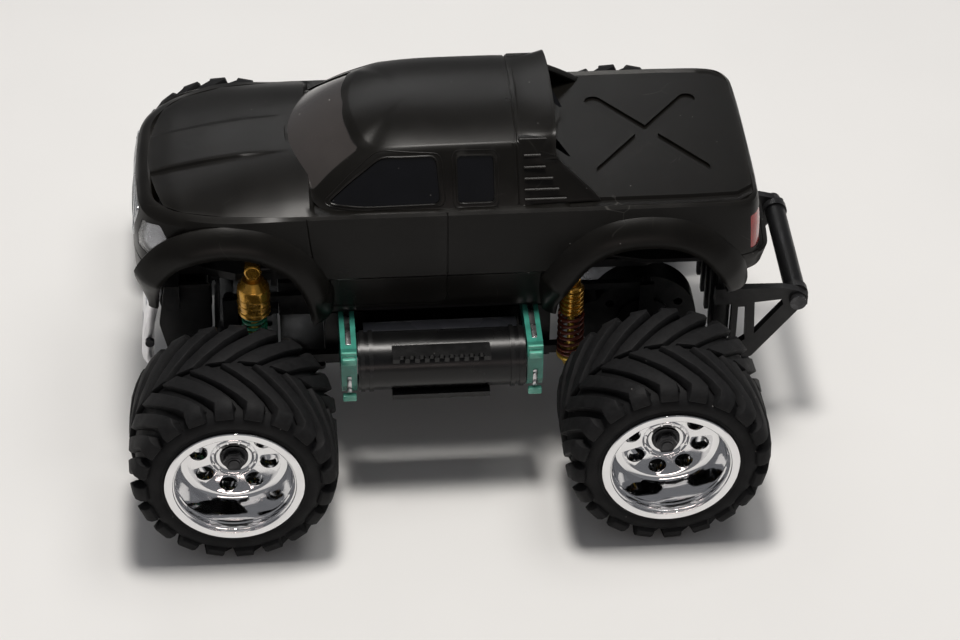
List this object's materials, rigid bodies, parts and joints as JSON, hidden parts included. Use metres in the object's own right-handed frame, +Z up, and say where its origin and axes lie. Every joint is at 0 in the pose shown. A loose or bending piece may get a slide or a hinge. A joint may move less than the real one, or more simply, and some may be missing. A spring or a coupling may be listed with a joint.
{
  "type": "rc monster truck",
  "caption": "Small radio-controlled monster truck with a lift-off pickup shell, sprung live axles, steered front wheels and fat chevron tyres on deep chrome rims.",
  "frame": {"origin": "on the ground, under the centre of the truck's overall length and width", "axes": "+X towards the truck's front, +Y towards its left side, +Z up"},
  "size_m": [0.1954, 0.158, 0.1039],
  "materials": {
    "tyre": "matt moulded tread",
    "chrome_plastic": "vacuum-plated mirror",
    "black_steel": "blackened",
    "bare_steel": "bright",
    "black_plastic": "moulded satin",
    "body_black": "satin black paint",
    "smoked_glass": "smoked gloss",
    "clear_lens": "clear lens",
    "silver_paint": "silver",
    "red_lens": "red lens",
    "gold": "gold anodised",
    "green_spring": "green enamel",
    "red_spring": "dark red enamel",
    "green_board": "translucent sea green",
    "circuit_board": "soldered board",
    "cell_wrap": "wrapped cell",
    "bronze": "sintered",
    "white_plastic": "moulded"
  },
  "bodies": {
    "chassis": {"chassis_tub": "black_plastic", "upper_deck": "black_plastic", "front_shock_tower": "black_plastic", "rear_shock_tower": "black_plastic", "body_posts": "black_plastic", "receiver_board": "circuit_board", "battery_cells": "cell_wrap", "terminal_boards": "green_board", "battery_contacts": "bare_steel", "front_shock_bodies": "gold", "rear_shock_bodies": "gold", "front_guard": "chrome_plastic", "rear_guard_plates": "black_plastic", "rear_guard_tube": "black_plastic", "screws": "black_steel"},
    "shell": {"body_shell": "body_black", "windshield": "smoked_glass", "side_windows": "smoked_glass", "rear_window": "smoked_glass", "headlights": "clear_lens", "grille": "silver_paint", "tail_lights": "red_lens", "roof_spoiler": "body_black"},
    "switch": {"power_switch": "black_plastic"},
    "left_cover": {"battery_cover_left": "body_black"},
    "right_cover": {"battery_cover_right": "body_black"},
    "front_arms": {"front_lower_arms": "black_plastic"},
    "front_links": {"front_upper_links": "black_plastic"},
    "front_axle": {"front_axle_beam": "black_plastic", "kingpins": "black_steel", "steering_servo": "black_plastic"},
    "left_knuckle": {"knuckle_left": "bare_steel", "wheel_nut_front_left": "black_steel"},
    "right_knuckle": {"knuckle_right": "bare_steel", "wheel_nut_front_right": "black_steel"},
    "front_left_wheel": {"tyre_front_left": "tyre", "rim_front_left": "chrome_plastic"},
    "front_right_wheel": {"tyre_front_right": "tyre", "rim_front_right": "chrome_plastic"},
    "tie_rod": {"tie_rod": "bare_steel"},
    "servo_horn": {"servo_arm": "white_plastic"},
    "rear_arms": {"rear_lower_arms": "black_plastic"},
    "rear_links": {"rear_upper_links": "black_plastic"},
    "rear_axle": {"rear_axle_case": "black_plastic", "rear_axle_cover": "black_plastic", "axle_bushes": "bronze", "drive_motor": "bare_steel"},
    "rear_wheels": {"rear_axle_shaft": "bare_steel", "spur_gear": "white_plastic", "tyre_rear_left": "tyre", "tyre_rear_right": "tyre", "rim_rear_left": "chrome_plastic", "rim_rear_right": "chrome_plastic", "wheel_nut_rear_left": "black_steel", "wheel_nut_rear_right": "black_steel"},
    "pinion": {"pinion_gear": "bronze"},
    "front_rods": {"front_shock_rods": "gold", "front_springs": "green_spring"},
    "rear_rods": {"rear_shock_rods": "gold", "rear_springs": "red_spring"}
  },
  "joints": [
    {"name": "body_lift", "type": "slide", "parent": "chassis", "child": "shell", "axis": [0, 0, 1], "range_m": [0, 0.06]},
    {"name": "switch_slide", "type": "slide", "parent": "chassis", "child": "switch", "axis": [1, 0, 0], "range_m": [0, 0.003]},
    {"name": "left_cover_off", "type": "slide", "parent": "chassis", "child": "left_cover", "axis": [0, 1, 0], "range_m": [0, 0.016]},
    {"name": "right_cover_off", "type": "slide", "parent": "chassis", "child": "right_cover", "axis": [0, -1, 0], "range_m": [0, 0.016]},
    {"name": "front_suspension", "type": "hinge", "parent": "chassis", "child": "front_arms", "pos_m": [0.02275, 0, 0.027], "axis": [0, -1, 0], "range_deg": [-6, 6], "stiffness_Nm_per_rad": 0.5, "springref_deg": -7.45},
    {"name": "front_link_swing", "type": "hinge", "parent": "chassis", "child": "front_links", "pos_m": [0.02875, 0, 0.044], "axis": [0, -1, 0], "range_deg": [-7, 7]},
    {"name": "front_axle_level", "type": "hinge", "parent": "front_arms", "child": "front_axle", "pos_m": [0.06275, 0, 0.027], "axis": [0, -1, 0], "range_deg": [-7, 7]},
    {"name": "steer_left", "type": "hinge", "parent": "front_axle", "child": "left_knuckle", "pos_m": [0.06875, 0.05, 0.029], "axis": [0, 0, 1], "range_deg": [-16, 16]},
    {"name": "steer_right", "type": "hinge", "parent": "front_axle", "child": "right_knuckle", "pos_m": [0.06875, -0.05, 0.029], "axis": [0, 0, 1], "range_deg": [-17, 17]},
    {"name": "tie_rod_slide", "type": "slide", "parent": "front_axle", "child": "tie_rod", "axis": [0, 1, 0], "range_m": [-0.003, 0.003]},
    {"name": "servo_turn", "type": "hinge", "parent": "front_axle", "child": "servo_horn", "pos_m": [0.05075, 0, 0.033], "axis": [0, 0, 1], "range_deg": [-17, 17]},
    {"name": "front_left_spin", "type": "hinge", "parent": "left_knuckle", "child": "front_left_wheel", "pos_m": [0.06875, 0.06, 0.029], "axis": [0, 1, 0], "continuous": true},
    {"name": "front_right_spin", "type": "hinge", "parent": "right_knuckle", "child": "front_right_wheel", "pos_m": [0.06875, -0.06, 0.029], "axis": [0, 1, 0], "continuous": true},
    {"name": "front_shock_slide", "type": "slide", "parent": "chassis", "child": "front_rods", "axis": [0, 0, 1], "range_m": [-0.0045, 0.0045], "deforming": ["front_springs"]},
    {"name": "rear_suspension", "type": "hinge", "parent": "chassis", "child": "rear_arms", "pos_m": [-0.00525, 0, 0.027], "axis": [0, 1, 0], "range_deg": [-6, 6], "stiffness_Nm_per_rad": 0.5, "springref_deg": -9.74},
    {"name": "rear_link_swing", "type": "hinge", "parent": "chassis", "child": "rear_links", "pos_m": [-0.01125, 0, 0.044], "axis": [0, 1, 0], "range_deg": [-7, 7]},
    {"name": "rear_axle_level", "type": "hinge", "parent": "rear_arms", "child": "rear_axle", "pos_m": [-0.04525, 0, 0.027], "axis": [0, 1, 0], "range_deg": [-7, 7]},
    {"name": "rear_shock_slide", "type": "slide", "parent": "chassis", "child": "rear_rods", "axis": [0, 0, 1], "range_m": [-0.0045, 0.0045], "deforming": ["rear_springs"]},
    {"name": "rear_drive", "type": "hinge", "parent": "rear_axle", "child": "rear_wheels", "pos_m": [-0.05125, 0, 0.029], "axis": [0, 1, 0], "continuous": true},
    {"name": "pinion_spin", "type": "hinge", "parent": "rear_axle", "child": "pinion", "pos_m": [-0.03725, 0, 0.029], "axis": [0, 1, 0], "continuous": true}
  ],
  "couplings": [
    {"joint": "front_link_swing", "follows": "front_suspension", "ratio": 1},
    {"joint": "front_axle_level", "follows": "front_suspension", "ratio": -1},
    {"joint": "front_shock_slide", "follows": "front_suspension", "m_per_rad": 0.039927},
    {"joint": "rear_link_swing", "follows": "rear_suspension", "ratio": 1},
    {"joint": "rear_axle_level", "follows": "rear_suspension", "ratio": -1},
    {"joint": "rear_shock_slide", "follows": "rear_suspension", "m_per_rad": 0.039927},
    {"joint": "steer_right", "follows": "steer_left", "ratio": 1},
    {"joint": "tie_rod_slide", "follows": "steer_left", "m_per_rad": -0.008883},
    {"joint": "servo_turn", "follows": "steer_left", "ratio": -1},
    {"joint": "pinion_spin", "follows": "rear_drive", "ratio": -3.6667}
  ]
}
